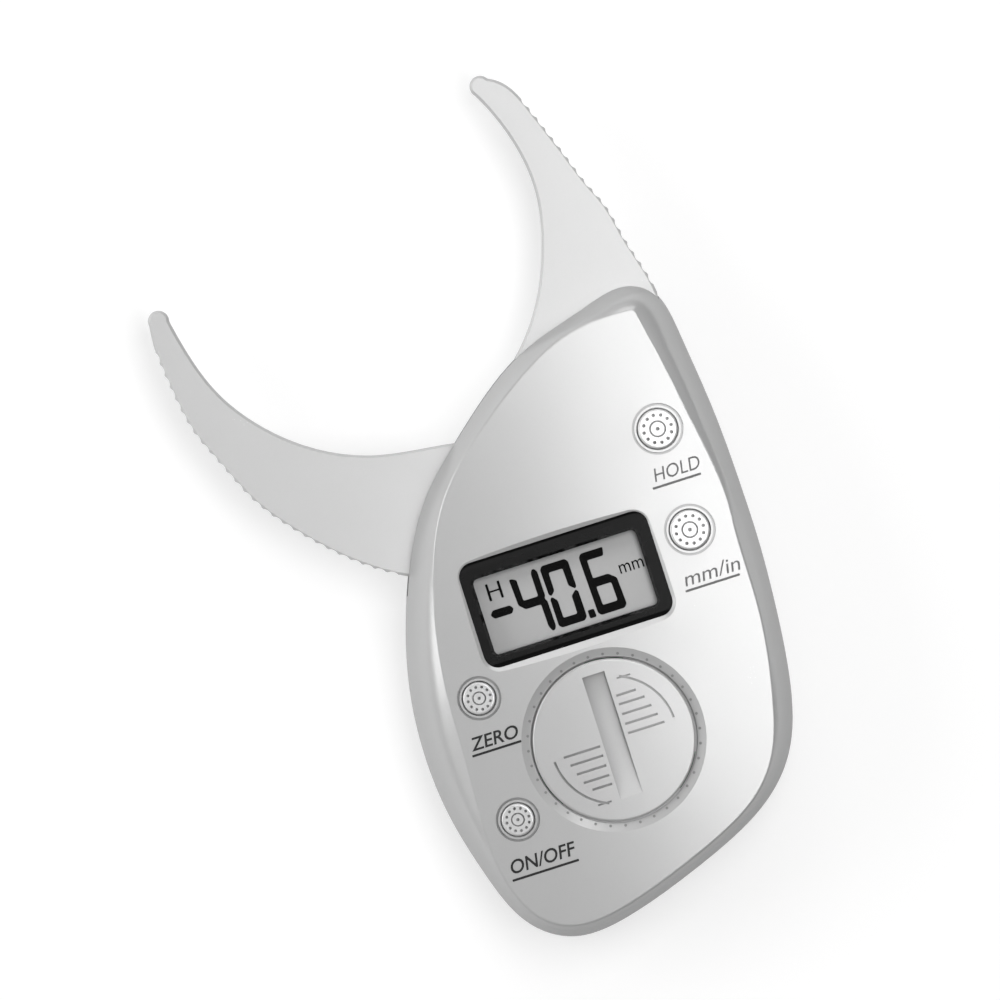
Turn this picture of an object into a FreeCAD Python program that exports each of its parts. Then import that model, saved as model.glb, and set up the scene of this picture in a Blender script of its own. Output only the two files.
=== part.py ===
import FreeCAD, Part
import math
import os
from FreeCAD import Vector

# Digital skinfold caliper, in millimetres. The origin is on the jaw pivot's axis, on the flat back
# that the caliper rests on. +X runs along the lettering, +Y towards the jaws, +Z out of the face.

# ---- case ----
# Corners of the plan, anticlockwise: x, y, how far in the face's edge lies from the side there, and
# how far the side has curled over where it meets the face. At 1 the two would flow into each other.
CASE_POINTS = [
    (34.9, -12, 3.3, 0.95), (34.3, 6, 4.2, 0.98), (32.8, 20.5, 5.1, 0.987), (30.6, 29.5, 5.4, 0.987),
    (25.2, 32.4, 4.8, 0.987), (17, 30.5, 2.9, 0.96), (4, 26.0, 2.9, 0.93), (-10, 15.8, 2.7, 0.93),
    (-20.6, 5.0, 3.6, 0.93), (-28.6, -12, 5.2, 0.93), (-32.3, -28, 6.6, 0.93), (-32.2, -45, 5.9, 0.93),
    (-29.0, -59, 2.7, 0.93), (-24.6, -69.2, 2.0, 0.93), (-17.0, -74.4, 2.0, 0.93), (-6, -73.6, 1.9, 0.93),
    (8, -69.0, 1.9, 0.93), (20.5, -63.1, 2.1, 0.94), (28.0, -55.9, 2.9, 0.95), (32.0, -46, 3.4, 0.95),
    (34.2, -30, 3.1, 0.95),
]
CASE_HEIGHT = 22.5          # highest point of the face
PARTING_Z = 10.0            # where the two shells meet
PARTING_BEVEL = 0.25
WALL = 2.0
BACK_FILLET = 3.0
CROWN_RADIUS = 450.0        # the face is a shallow dome
CROWN_CENTRE = (0.0, -20.0)
CREASE_FILLET = 0.5
OVERRUN = 1.0               # the side surface runs on past the face by this share of its width
SECTION_PITCH = 1.0         # between the plan sections that the side passes through
SECTIONS = 15               # the first lies one pitch below the parting line

# ---- jaws ----
JAW_BOTTOM = 7.2
JAW_TOP = 12.8
JAW_BEVEL = 0.45            # of the edges
SLOT_GAP = 0.3              # above and below the moving jaw
SLOT_ANGLES = (80, 197)     # from +X, about the pivot
CLAMP_GAP = 0.05            # round the fixed jaw, which the shells hold
TIP_RADIUS = 1.85
TIP_NECK = 0.8              # rounding of the hollow where the arm meets its tip
ARM_DIRECTION = -80         # from either tip, in degrees
MOVING_TIP = (-54.15, 51.2)
MOVING_INNER = [
    (-52.45, 51.0), (-51.0, 44.2), (-48.1, 36), (-42.5, 28), (-34.5, 21.3), (-26, 17.4),
    (-16, 15.6), (-6, 13.5), (0, 8.9),
]
MOVING_OUTER = [
    (-55.95, 51.0), (-56.3, 46), (-55.7, 39), (-54.3, 31), (-51.5, 24), (-47.8, 16),
    (-41.8, 8), (-33.6, 0), (-25.4, -5.2), (-12, -8.3), (0, -8.9),
]
FIXED_TIP = (12.4, 73.4)
FIXED_INNER = [
    (11.0, 72.2), (12.9, 68.3), (14.8, 62.8), (15.9, 57), (15.9, 51), (14.4, 44), (11.2, 36), (3.6, 25.9),
]
FIXED_ROOT = [(9.5, 19.5), (11.5, 13.2), (24, 12.5), (29, 15), (30.2, 24)]
FIXED_ROOT_MIDDLE = (18, 22)
COLUMN_ROOM = 0.3           # round the screw column that passes through the root
ROOT_GROWTH = 1.01          # of the root's pocket over the root, about its middle
FIXED_OUTER = [
    (31.1, 29.4), (30.7, 32), (28.6, 40), (27.0, 47), (25.1, 51.5), (23.1, 57.2), (21.1, 62.7),
    (19.1, 68), (16.9, 72.1), (13.9, 74.35),
]
TOOTH_PITCH = 2.25
TOOTH_CUT_RADIUS = 1.6
TOOTH_DEPTH = 0.32
MOVING_TEETH = (6.0, 66.0)  # first and last tooth, along the outer edge from the tip
FIXED_TEETH = (2.5, 42.5)   # first and last tooth, along the outer edge from the case

# ---- pivot ----
HUB_RADIUS = 9.0
HUB_BOTTOM = 5.55
HUB_TOP = 13.4
POST_RADIUS = 3.5
POST_TOP = 11.1
PIVOT_PLAY = 0.05
HUB_PAD_RADIUS = 8.0
PIVOT_SCREW = (1.2, 4.5)    # radius, and the height of its end
PIVOT_SCREW_HEAD = (2.6, 1.7)   # radius, thickness
WASHER_HOLE = 1.3
COUNTERBORE_RADIUS = 6.0
COUNTERBORE_FLOOR = 10.5
WASHER_RADIUS = 5.7
WASHER_THICKNESS = 0.6
SPRING_WASHER = (3.7, 5.68)     # inner and outer radius
SPRING_WASHER_THICKNESS = 0.3
SENSOR_INNER = 16.0
SENSOR_OUTER = 26.0
SENSOR_ANGLES = (-100.0, -20.0)
SENSOR_THICKNESS = 1.6
FILM_THICKNESS = 0.2
FILM_TRACKS = 16
FILM_EDGE = (0.5, 1.0)      # kept clear of the sector: at its rim, and in degrees at its ends
TRACK_EDGE = 1.0            # of film beside each track's two ends
TRACK_SHARE = (0.35, 0.65)

# ---- screws ----
CASE_SCREWS = [(25, 20), (-25.5, -21.5), (-14, -66), (21, -55)]
CASE_SCREW_RADIUS = 1.1
CASE_SCREW_TOP = 16.0
CASE_SCREW_HEAD = (2.0, 1.6)    # radius, thickness
CASE_SCREW_WELL = (2.2, 3.8)    # radius, and the height at which the column stops the head
CASE_SCREW_ROOM = 0.2           # round the shank in the rear shell
CASE_BOSS_RADIUS = 3.0
LOCATING_PIN = (15, 18)
PIN_RADIUS = 1.9
PIN_TOP = 12.6
BOARD_SCREWS = [(14, 5), (27.5, -23), (-25, -38), (13, -62.5)]
BOARD_SCREW_RADIUS = 0.9
BOARD_SCREW_TOP = 18.4
BOARD_SCREW_HEAD = (1.7, 1.0)   # radius, thickness
BOARD_BOSS_RADIUS = 2.3
HEAD_EDGE = 0.3                 # rounding of a screw's head, as a share of its thickness
CROSS = (0.62, 0.14, 0.5)       # its recess: half length and half width by radius, depth by thickness
HOLE_GAP = 0.05
HOLE_ENDS = (0.5, 0.4)          # beyond the case screws and the board screws

# ---- inside the shells ----
SADDLES = [(12, 28.5, 14, 15.5), (12, 28.5, 26, 27.2)]      # under the fixed jaw's root
CLAMP_RIBS = [(12.5, 28, 14.5, 15.7), (12.5, 28, 24.5, 25.7)]   # over it
RIBS_ACROSS = (-34, -50)
RIBS_ALONG = (-13, 12)
RIB_ENDS = (-24, 22, -62, -16)
RIB_WIDTH = 1.2
RIB_TOP = 4.5
LABEL_RECESS = (-15, 15, -48, -24)
LABEL_CORNER = 2.0
LABEL_DEPTH = 0.3

# ---- electronics ----
BOARD_BOTTOM = 14.0
BOARD_TOP = 15.0
BOARD_EDGE_GAP = 0.6
BOARD_FRONT_EDGE = 13.0
BOARD_HOLE_ROOM = (0.4, 0.1)    # round the case's columns and the board's own screws
CHIP_BOX = (-10, -2, 1, 9)
CHIP_HEIGHT = 1.2
PASSIVE_SIZE = (1.6, 0.8, 0.6)
PASSIVES = [
    (-13, 2), (-13, 5), (1, 2), (1, 5), (4, 2), (4, 5), (18, -30), (18, -33), (-16, -60), (-13, -60),
]
LCD_BOX = (-16.0, 15.6, -24.2, -7.9)        # glass: x from, to, y from, to
LCD_BOTTOM = 17.2
LCD_TOP = 19.0
REAR_GLASS = 0.9                # thickness
FRONT_GLASS_EDGES = (1.3, 0.2)  # how far the front glass stops short of the rear one, below and above
STRIP_WIDTH = 1.8
STRIP_EDGES = (1.0, 0.3)        # in from the glass: at the ends, and at the sides
LCD_HOLDER_WALL = 1.4
LCD_HOLDER_CORNER = 1.0
LCD_GAP = 0.1
BEZEL_BOX = (-17.4, 17.1, -25.1, -6.1)      # black frame
WINDOW_BOX = (-15.4, 14.6, -23.0, -9.1)     # what the frame leaves open
BEZEL_CORNER = 2.5
WINDOW_CORNER = 1.0
BEZEL_TOP = 21.8
BEZEL_SHOULDERS = [(-7.3, -6.1, 0.5), (-24.4, -25.1, 0.3)]     # sloping edges: y from, to, and drop
BEZEL_FLANGE = (19.2, 19.75)
BEZEL_FLANGE_EDGE = 1.2
LENS_TOP = 20.2
LENS_EDGE = 0.8
LENS_GAP = 0.05
BEZEL_GAP = 0.1
DISPLAY_LIP = (1.3, 0.62)       # width and depth of the slope round the frame
BEZEL_SLOPE = 0.5               # of the frame's inner edge, down to just above the lens

# ---- buttons: x, y, radius of the cap ----
BUTTONS = {
    "hold": (23.8, 6.4, 3.5),
    "unit": (23.8, -12.2, 3.5),
    "zero": (-20.5, -29.2, 2.85),
    "power": (-20.5, -51.6, 2.85),
}
BUTTON_PROUD = 0.55
BUTTON_BOTTOM = 18.1
BUTTON_FLANGE = (0.8, 0.6)      # beyond the cap, thickness
BUTTON_GAP = 0.25
BUTTON_LIP = (0.38, 0.12)       # width and height of the raised ring round each button
BUTTON_MOAT = (0.42, 0.4)       # width and depth of the groove round that
BUTTON_GUIDE_BOTTOM = 18.95
BUTTON_EDGE = 0.35
BUTTON_DOTS = 12
DOT_PLACE = 0.71                # the next four are shares of the cap's radius
DOT_RADIUS = 0.09
CAP_RING = (0.34, 0.43)
DIMPLE_RADIUS = 0.1
DOT_DEPTH = 0.9
GUIDE_WALL = 1.3
FLANGE_ROOM = 0.3               # round the flange, behind the hole
SWITCH_SIZE = 6.0
SWITCH_TOP = 17.0
SWITCH_FLOOR = 0.4
PLUNGER_RADIUS = 1.5
PLUNGER_GAP = 0.1
PLUNGER_BOTTOM = 16.0

# ---- battery ----
BATTERY = (-0.1, -43.35)
COVER_RADIUS = 14.35
COVER_EDGE = 0.4
WELL_RADIUS = 14.75
WELL_WALL = 1.5
WELL_RIM = (16.3, 0.6)          # outer radius and depth of the sloping ring round the cover
LEDGE = (13.6, 18.6, 19.8)      # inner radius, bottom, top
COVER_BOTTOM = 20.3
COVER_SKIRT = (12.2, 13.35, 17.4)   # inner radius, outer radius, bottom
LUG_RADIUS = 14.3
LUG_TOP = 18.5
LUG_ANGLES = (30, 150, 270)
LUG_SPAN = 24.0
WAY_IN_ROOM = 2.0              # degrees beside a lug on its way in
OPEN_TURN = 50.0
SEAL = (13.75, 14.25)
COIN_SLOT = (-2.2, 1.9, -55.7, -31.3)
COIN_SLOT_DEPTH = 1.6
SLOT_RIB = (0.7, 12.5, 19.7)    # beyond the slot's sides, half length, bottom
COIN_RADIUS = 50.0
CELL_RADIUS = 10.0
CELL = (16.3, 19.5)
CELL_STEP = (1.2, 0.5)          # the negative pole lies this far in, and stands this proud
CELL_EDGE = 0.3
HOLDER = (10.15, 11.4, 19.2)    # inner radius, outer radius, top
HOLDER_FLOOR = 0.6
LEAF = (5.0, 0.35, 3.1)         # upright contact: width, thickness, length of its foot
LEAF_GAP = 0.05                 # off the can, before it is pressed
FOOT_THICKNESS = 0.3
SPRING_DISC = (2.0, 8.0, 0.25)  # inner radius, outer radius, thickness
TONGUES = (1.0, 5.0)            # radius of each, and how far from the middle
GRIP_LINE = 0.42
GRIP_DEPTH = 0.55
GRIP_START = 2.6                # where each line begins, beside the coin slot
GRIP_LINES = [(-36.1, 6.2), (-37.7, 7.3), (-39.5, 8.0), (-41.3, 8.6), (-43.0, 9.3)]     # y, end
ARROW_RADIUS = 11.2
ARROW_ANGLES = (3, 68)
ARROW_BARB = (3.6, 6.1, -33.35, -33.05)

THROUGH = 40.0                  # a cutter's length


# ---- plain shapes ----

def cylinder(radius, bottom, top, x=0.0, y=0.0):
    return Part.makeCylinder(radius, top - bottom, Vector(x, y, bottom))


def ring(inner, outer, bottom, top, x=0.0, y=0.0):
    return cylinder(outer, bottom, top, x, y).cut(cylinder(inner, bottom - 1, top + 1, x, y))


def block(x0, x1, y0, y1, bottom, top):
    return Part.makeBox(x1 - x0, y1 - y0, top - bottom, Vector(x0, y0, bottom))


def rounded_block(box, corner, bottom, top, grow=0.0):
    x0, x1, y0, y1 = box
    solid = block(x0 - grow, x1 + grow, y0 - grow, y1 + grow, bottom, top)
    upright = [e for e in solid.Edges if e.BoundBox.ZLength > 0.5 * (top - bottom)]
    return solid.makeFillet(corner + grow, upright)


def sector(inner, outer, start, end, bottom, top, x=0.0, y=0.0):
    centre = Vector(x, y, bottom)
    wedge = Part.makeCylinder(outer, top - bottom, centre, Vector(0, 0, 1), end - start)
    wedge.rotate(centre, Vector(0, 0, 1), start)
    return wedge.cut(cylinder(inner, bottom - 1, top + 1, x, y))


def join(shapes):
    shapes = list(shapes)
    return shapes[0].multiFuse(shapes[1:]).removeSplitter()


def group(shapes):
    return Part.makeCompound(list(shapes))


def polar(radius, angle, centre=(0.0, 0.0)):
    turn = math.radians(angle)
    return centre[0] + radius * math.cos(turn), centre[1] + radius * math.sin(turn)


# ---- the case's own surfaces ----

def case_parameters():
    """Spline parameters spaced by the square root of each chord, which keeps the curve fair."""
    parameters = [0.0]
    for start, end in zip(CASE_POINTS, CASE_POINTS[1:] + CASE_POINTS[:1]):
        parameters.append(parameters[-1] + math.sqrt(math.hypot(end[0] - start[0], end[1] - start[1])))
    return parameters


def closed_curve(points, z):
    curve = Part.BSplineCurve()
    corners = [Vector(x, y, z) for x, y in points]
    curve.interpolate(Points=corners, PeriodicFlag=True, Parameters=case_parameters())
    return curve


def inward_normals():
    curve = closed_curve([point[:2] for point in CASE_POINTS], 0)
    tangents = [curve.tangent(parameter)[0] for parameter in case_parameters()[:-1]]
    return [(-tangent.y, tangent.x) for tangent in tangents]


def face_height(x, y, below=0.0):
    """Height of the domed face at a point of the plan, or of a surface that lies below it."""
    span = math.hypot(x - CROWN_CENTRE[0], y - CROWN_CENTRE[1])
    return CASE_HEIGHT - CROWN_RADIUS + math.sqrt((CROWN_RADIUS - below) ** 2 - span ** 2)


def dome(below=0.0):
    """The sphere of the face. Its poles lie along Y and its seam underneath, clear of the face."""
    centre = Vector(CROWN_CENTRE[0], CROWN_CENTRE[1], CASE_HEIGHT - CROWN_RADIUS)
    along_y = Vector(0, 1, 0)
    ball = Part.makeSphere(CROWN_RADIUS - below, centre, along_y)
    ball.rotate(centre, along_y, 180)
    return ball


def side_lean(share, curl):
    """How far the side has leaned in at a share of its height: 0 at the parting line, 1 at the face."""
    drop = math.sqrt(1 - curl ** 2)
    if share <= 1:
        return (1 - math.sqrt(1 - (curl * share) ** 2)) / (1 - drop)
    slope = curl ** 2 / (drop * (1 - drop))
    return 1 + OVERRUN * (1 - math.exp(-(share - 1) * slope / OVERRUN))


def case_wire(z, inset=0.0):
    """The case's section at height z, moved in by inset."""
    points = []
    for (x, y, rim, curl), (nx, ny) in zip(CASE_POINTS, inward_normals()):
        crease = face_height(x + nx * rim, y + ny * rim)
        share = max(0.0, (z - PARTING_Z) / (crease - PARTING_Z))
        move = rim * side_lean(share, curl) + inset
        points.append((x + nx * move, y + ny * move))
    return Part.Wire(closed_curve(points, z).toShape())


def upper_body(inset=0.0):
    heights = [PARTING_Z + SECTION_PITCH * step for step in range(-1, SECTIONS - 1)]
    sides = Part.makeLoft([case_wire(z, inset) for z in heights], True, False)
    above_parting = block(-THROUGH, THROUGH, -2 * THROUGH, THROUGH, PARTING_Z, THROUGH)
    return sides.common(dome(inset)).common(above_parting).Solids[0]


def lower_body():
    body = Part.Face(case_wire(0)).extrude(Vector(0, 0, PARTING_Z))
    back = [e for e in body.Edges if e.BoundBox.ZMax < 0.01]
    return body.makeFillet(BACK_FILLET, back)


def bevel_parting(body):
    edges = [e for e in body.Edges
             if abs(e.BoundBox.ZMin - PARTING_Z) < 0.01 and e.BoundBox.ZLength < 0.01]
    return body.makeChamfer(PARTING_BEVEL, edges)


# ---- jaws ----

def open_curve(points):
    curve = Part.BSplineCurve()
    curve.interpolate([Vector(x, y, JAW_BOTTOM) for x, y in points])
    return curve.toShape()


def straight(points):
    corners = [Vector(x, y, JAW_BOTTOM) for x, y in points]
    return [Part.LineSegment(a, b).toShape() for a, b in zip(corners, corners[1:])]


def moving_outline():
    inner = open_curve(MOVING_INNER)
    outer = open_curve(MOVING_OUTER)
    tip = straight([MOVING_OUTER[0], MOVING_INNER[0]])
    root = straight([MOVING_INNER[-1], MOVING_OUTER[-1]])
    return Part.Face(Part.Wire(Part.sortEdges([inner, outer] + tip + root)[0]))


def fixed_outline():
    inner = open_curve(FIXED_INNER)
    outer = open_curve(FIXED_OUTER)
    root = straight([FIXED_INNER[-1]] + FIXED_ROOT + [FIXED_OUTER[0]])
    tip = straight([FIXED_OUTER[-1], FIXED_INNER[0]])
    return Part.Face(Part.Wire(Part.sortEdges([inner, outer] + root + tip)[0]))


def bevelled_arm(outline, tip):
    """The arm and its round tip as one plate, with every edge bevelled but those at the root."""
    x, y = tip
    bulb = cylinder(TIP_RADIUS, JAW_BOTTOM, JAW_TOP, x, y)
    bulb.rotate(Vector(x, y, 0), Vector(0, 0, 1), ARM_DIRECTION)
    plate = join([outline.extrude(Vector(0, 0, JAW_TOP - JAW_BOTTOM)), bulb])
    neck = [e for e in plate.Edges if e.BoundBox.ZLength > 1
            and math.hypot(e.CenterOfMass.x - x, e.CenterOfMass.y - y) < 2 * TIP_RADIUS]
    plate = plate.makeFillet(TIP_NECK, neck)
    rims = [e for e in plate.Edges if e.BoundBox.ZLength < 0.01 and not isinstance(e.Curve, Part.Line)]
    return plate.makeChamfer(JAW_BEVEL, rims)


def tooth_cutters(points, first, last):
    """Rounded notches along a jaw's outer edge, which runs with the jaw on its left."""
    edge = open_curve(points)
    count = int((last - first) / TOOTH_PITCH) + 1
    cutters = []
    for index in range(count):
        parameter = edge.getParameterByLength(first + index * TOOTH_PITCH)
        place = edge.valueAt(parameter)
        tangent = edge.tangentAt(parameter)
        outward = Vector(tangent.y, -tangent.x, 0)
        centre = place + outward * (TOOTH_CUT_RADIUS - TOOTH_DEPTH)
        cutters.append(cylinder(TOOTH_CUT_RADIUS, JAW_BOTTOM - 1, JAW_TOP + 1, centre.x, centre.y))
    return cutters


def moving_jaw():
    arm = bevelled_arm(moving_outline(), MOVING_TIP)
    arm = arm.cut(tooth_cutters(MOVING_OUTER, *MOVING_TEETH))
    hub = cylinder(HUB_RADIUS, HUB_BOTTOM, HUB_TOP)
    plate_bottom = HUB_TOP - SENSOR_THICKNESS
    plate = sector(HUB_RADIUS - 1, SENSOR_OUTER, *SENSOR_ANGLES, plate_bottom, HUB_TOP)
    jaw = join([arm, hub, plate])
    jaw = jaw.cut(cylinder(COUNTERBORE_RADIUS, COUNTERBORE_FLOOR, THROUGH))
    return jaw.cut(cylinder(POST_RADIUS + PIVOT_PLAY, 0, THROUGH))


def fixed_jaw():
    jaw = bevelled_arm(fixed_outline(), FIXED_TIP)
    jaw = jaw.cut(tooth_cutters(FIXED_OUTER, *FIXED_TEETH))
    screw = cylinder(CASE_BOSS_RADIUS + COLUMN_ROOM, 0, THROUGH, *CASE_SCREWS[0])
    pin = cylinder(PIN_RADIUS + CLAMP_GAP, 0, THROUGH, *LOCATING_PIN)
    return jaw.cut([screw, pin])


def moving_jaw_slot():
    """Opening in the side wall over the jaw's whole swing, with room above, below and at the ends."""
    return sector(HUB_RADIUS, 2 * THROUGH, *SLOT_ANGLES, JAW_BOTTOM - SLOT_GAP, JAW_TOP + SLOT_GAP)


def fixed_jaw_slot():
    """Room for the fixed jaw's root, round the screw column and the pin that pass through it."""
    bottom = JAW_BOTTOM - CLAMP_GAP
    root = [FIXED_INNER[-1]] + FIXED_ROOT + [FIXED_OUTER[0]]
    middle_x, middle_y = FIXED_ROOT_MIDDLE
    grown = [(middle_x + (x - middle_x) * ROOT_GROWTH, middle_y + (y - middle_y) * ROOT_GROWTH)
             for x, y in root]
    outside = [(32, THROUGH), (8, THROUGH)]
    corners = [Vector(x, y, bottom) for x, y in grown + outside + grown[:1]]
    room = Part.Face(Part.makePolygon(corners)).extrude(Vector(0, 0, JAW_TOP + CLAMP_GAP - bottom))
    column = cylinder(CASE_BOSS_RADIUS, 0, THROUGH, *CASE_SCREWS[0])
    return room.cut([column, cylinder(PIN_RADIUS, 0, THROUGH, *LOCATING_PIN)])


def sensor_scale():
    """Film with radial tracks: a thin sheet with the gaps between its electrodes cut half through."""
    top = HUB_TOP + FILM_THICKNESS
    middle = HUB_TOP + FILM_THICKNESS / 2
    outer = SENSOR_OUTER - FILM_EDGE[0]
    start = SENSOR_ANGLES[0] + FILM_EDGE[1]
    end = SENSOR_ANGLES[1] - FILM_EDGE[1]
    film = sector(SENSOR_INNER, outer, start, end, HUB_TOP, top)
    step = (end - start) / FILM_TRACKS
    low, high = TRACK_SHARE
    gaps = [sector(SENSOR_INNER + TRACK_EDGE, outer - TRACK_EDGE, start + (i + low) * step,
                   start + (i + high) * step, middle, top + 1) for i in range(FILM_TRACKS)]
    return film.cut(gaps)


# ---- pivot hardware ----

def pivot_spring_washer():
    """A flat ring bent to a shallow curve about the Y axis."""
    rise = WASHER_THICKNESS - SPRING_WASHER_THICKNESS
    radius = (WASHER_RADIUS ** 2 + rise ** 2) / (2 * rise)
    length = 4 * WASHER_RADIUS
    centre = Vector(0, -length / 2, COUNTERBORE_FLOOR + rise - radius)
    outer = Part.makeCylinder(radius + SPRING_WASHER_THICKNESS, length, centre, Vector(0, 1, 0))
    inner = Part.makeCylinder(radius, length, centre, Vector(0, 1, 0))
    sheet = outer.cut(inner)
    blank = ring(*SPRING_WASHER, COUNTERBORE_FLOOR, POST_TOP)
    return sheet.common(blank)


def pan_head_screw(head_radius, head_bottom, head_height, shank_radius, shank_end, x=0.0, y=0.0):
    """A cross-recess screw whose shank runs from head_bottom to shank_end, either way."""
    up = 1 if shank_end < head_bottom else -1
    shank = cylinder(shank_radius, min(shank_end, head_bottom), max(shank_end, head_bottom), x, y)
    outer_face = head_bottom + up * head_height
    head = cylinder(head_radius, min(head_bottom, outer_face), max(head_bottom, outer_face), x, y)
    rim = [e for e in head.Edges if e.isClosed() and abs(e.BoundBox.ZMin - outer_face) < 0.01]
    head = head.makeFillet(HEAD_EDGE * head_height, rim)
    long, short, deep = CROSS[0] * head_radius, CROSS[1] * head_radius, CROSS[2] * head_height
    recess = [block(x - long, x + long, y - short, y + short, outer_face - deep, outer_face + deep),
              block(x - short, x + short, y - long, y + long, outer_face - deep, outer_face + deep)]
    return join([head, shank]).cut(recess)


def pivot_washer():
    return ring(WASHER_HOLE, WASHER_RADIUS, POST_TOP, POST_TOP + WASHER_THICKNESS)


def pivot_screw():
    radius, thickness = PIVOT_SCREW_HEAD
    return pan_head_screw(radius, POST_TOP + WASHER_THICKNESS, thickness, *PIVOT_SCREW)


def case_screws():
    radius, thickness = CASE_SCREW_HEAD
    stop = CASE_SCREW_WELL[1]
    return group(pan_head_screw(radius, stop, thickness, CASE_SCREW_RADIUS, CASE_SCREW_TOP, x, y)
                 for x, y in CASE_SCREWS)


def board_screws():
    radius, thickness = BOARD_SCREW_HEAD
    return group(pan_head_screw(radius, BOARD_BOTTOM, thickness, BOARD_SCREW_RADIUS, BOARD_SCREW_TOP, x, y)
                 for x, y in BOARD_SCREWS)


# ---- shells ----

def rear_shell():
    inside = Part.Face(case_wire(0, WALL)).extrude(Vector(0, 0, PARTING_Z + 1))
    inside.translate(Vector(0, 0, WALL))
    shell = bevel_parting(lower_body()).cut(inside)
    radius, stop = CASE_SCREW_WELL
    root = WALL / 2
    post = [cylinder(HUB_PAD_RADIUS, root, HUB_BOTTOM - PIVOT_PLAY), cylinder(POST_RADIUS, root, POST_TOP)]
    columns = [cylinder(CASE_BOSS_RADIUS, root, PARTING_Z, x, y) for x, y in CASE_SCREWS]
    pin = [cylinder(PIN_RADIUS, root, PIN_TOP, *LOCATING_PIN)]
    saddles = [block(*saddle, root, JAW_BOTTOM - CLAMP_GAP) for saddle in SADDLES]
    x0, x1, y0, y1 = RIB_ENDS
    ribs = [block(x0, x1, y, y + RIB_WIDTH, root, RIB_TOP) for y in RIBS_ACROSS]
    ribs += [block(x, x + RIB_WIDTH, y0, y1, root, RIB_TOP) for x in RIBS_ALONG]
    body = join([shell] + post + columns + pin + saddles + ribs)
    pilot = cylinder(PIVOT_SCREW[0] + HOLE_GAP, PIVOT_SCREW[1] - HOLE_ENDS[0], THROUGH)
    body = body.cut([pilot, moving_jaw_slot(), fixed_jaw_slot()])
    holes = [cylinder(CASE_SCREW_RADIUS + CASE_SCREW_ROOM, -1, THROUGH, x, y) for x, y in CASE_SCREWS]
    heads = [cylinder(radius, -1, stop, x, y) for x, y in CASE_SCREWS]
    label = rounded_block(LABEL_RECESS, LABEL_CORNER, -1, LABEL_DEPTH)
    return body.cut(holes + heads + [label])


def button_lip(x, y, radius):
    """Raised disc, which the button's hole leaves as a ring."""
    width, height = BUTTON_LIP
    disc = cylinder(radius + BUTTON_GAP + width, BUTTON_GUIDE_BOTTOM + 0.5, THROUGH, x, y)
    return disc.common(dome(-height))


def button_moat(x, y, radius):
    """The groove round the raised ring."""
    width, depth = BUTTON_MOAT
    inner = radius + BUTTON_GAP + BUTTON_LIP[0]
    return ring(inner, inner + width, BUTTON_GUIDE_BOTTOM, THROUGH, x, y).cut(dome(depth))


def well_wall():
    return cylinder(WELL_RADIUS + WELL_WALL, LEDGE[1], CASE_HEIGHT, *BATTERY)


def well_rim():
    """Cone that sinks from the face to the well's edge, square to the dome, and runs on both ways."""
    radius, depth = WELL_RIM
    middle = Vector(*BATTERY, face_height(*BATTERY))
    outward = (middle - Vector(*CROWN_CENTRE, CASE_HEIGHT - CROWN_RADIUS)).normalize()
    face_drop = radius ** 2 / (2 * CROWN_RADIUS)
    width = radius - WELL_RADIUS
    foot = middle - outward * (face_drop + 2 * depth)
    return Part.makeCone(radius - 2 * width, radius + 2 * width, 4 * depth, foot, outward)


def well_cutters():
    """The well above and below its ledge, the ledge's opening, and three ways in for the cover's lugs."""
    x, y = BATTERY
    cutters = [cylinder(WELL_RADIUS, LEDGE[2], THROUGH, x, y),
               cylinder(WELL_RADIUS, BOARD_TOP, LEDGE[1], x, y),
               cylinder(LEDGE[0], BOARD_TOP, THROUGH, x, y),
               well_rim()]
    half = LUG_SPAN / 2 + WAY_IN_ROOM
    for angle in LUG_ANGLES:
        way_in = angle + OPEN_TURN
        cutters.append(sector(LEDGE[0] - 1, LUG_RADIUS + 0.2, way_in - half, way_in + half,
                              BOARD_TOP, LEDGE[2] + 0.2, x, y))
    return cutters


def button_cutters():
    """A hole for each cap, with room behind it for the cap's flange and a groove round it in front."""
    cutters = []
    room = BUTTON_FLANGE[0] + FLANGE_ROOM
    for x, y, radius in BUTTONS.values():
        cutters.append(cylinder(radius + BUTTON_GAP, BOARD_TOP, THROUGH, x, y))
        cutters.append(cylinder(radius + room, BOARD_TOP, BUTTON_GUIDE_BOTTOM, x, y))
        cutters.append(button_moat(x, y, radius))
    return cutters


def screw_cutters():
    case_end = CASE_SCREW_TOP + HOLE_ENDS[0]
    board_end = BOARD_SCREW_TOP + HOLE_ENDS[1]
    holes = [cylinder(CASE_SCREW_RADIUS + HOLE_GAP, 0, case_end, x, y) for x, y in CASE_SCREWS]
    return holes + [cylinder(BOARD_SCREW_RADIUS + HOLE_GAP, 0, board_end, x, y) for x, y in BOARD_SCREWS]


def display_opening():
    """Through hole for the frame, with a sloping lip round it on the face."""
    hole = rounded_block(BEZEL_BOX, BEZEL_CORNER, LCD_TOP, THROUGH, BEZEL_GAP)
    x0, x1, y0, y1 = BEZEL_BOX
    face = face_height((x0 + x1) / 2, (y0 + y1) / 2)
    width, depth = DISPLAY_LIP
    low, high = face - depth, face + depth
    sections = [rounded_rectangle(BEZEL_BOX, BEZEL_CORNER, low, BEZEL_GAP),
                rounded_rectangle(BEZEL_BOX, BEZEL_CORNER, high, BEZEL_GAP + 2 * width)]
    return [hole, Part.makeLoft(sections, True, True)]


def rounded_rectangle(box, corner, z, grow):
    top = rounded_block(box, corner, z, z + 1, grow)
    lowest = min(top.Faces, key=lambda face: face.CenterOfMass.z)
    return lowest.OuterWire


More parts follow.
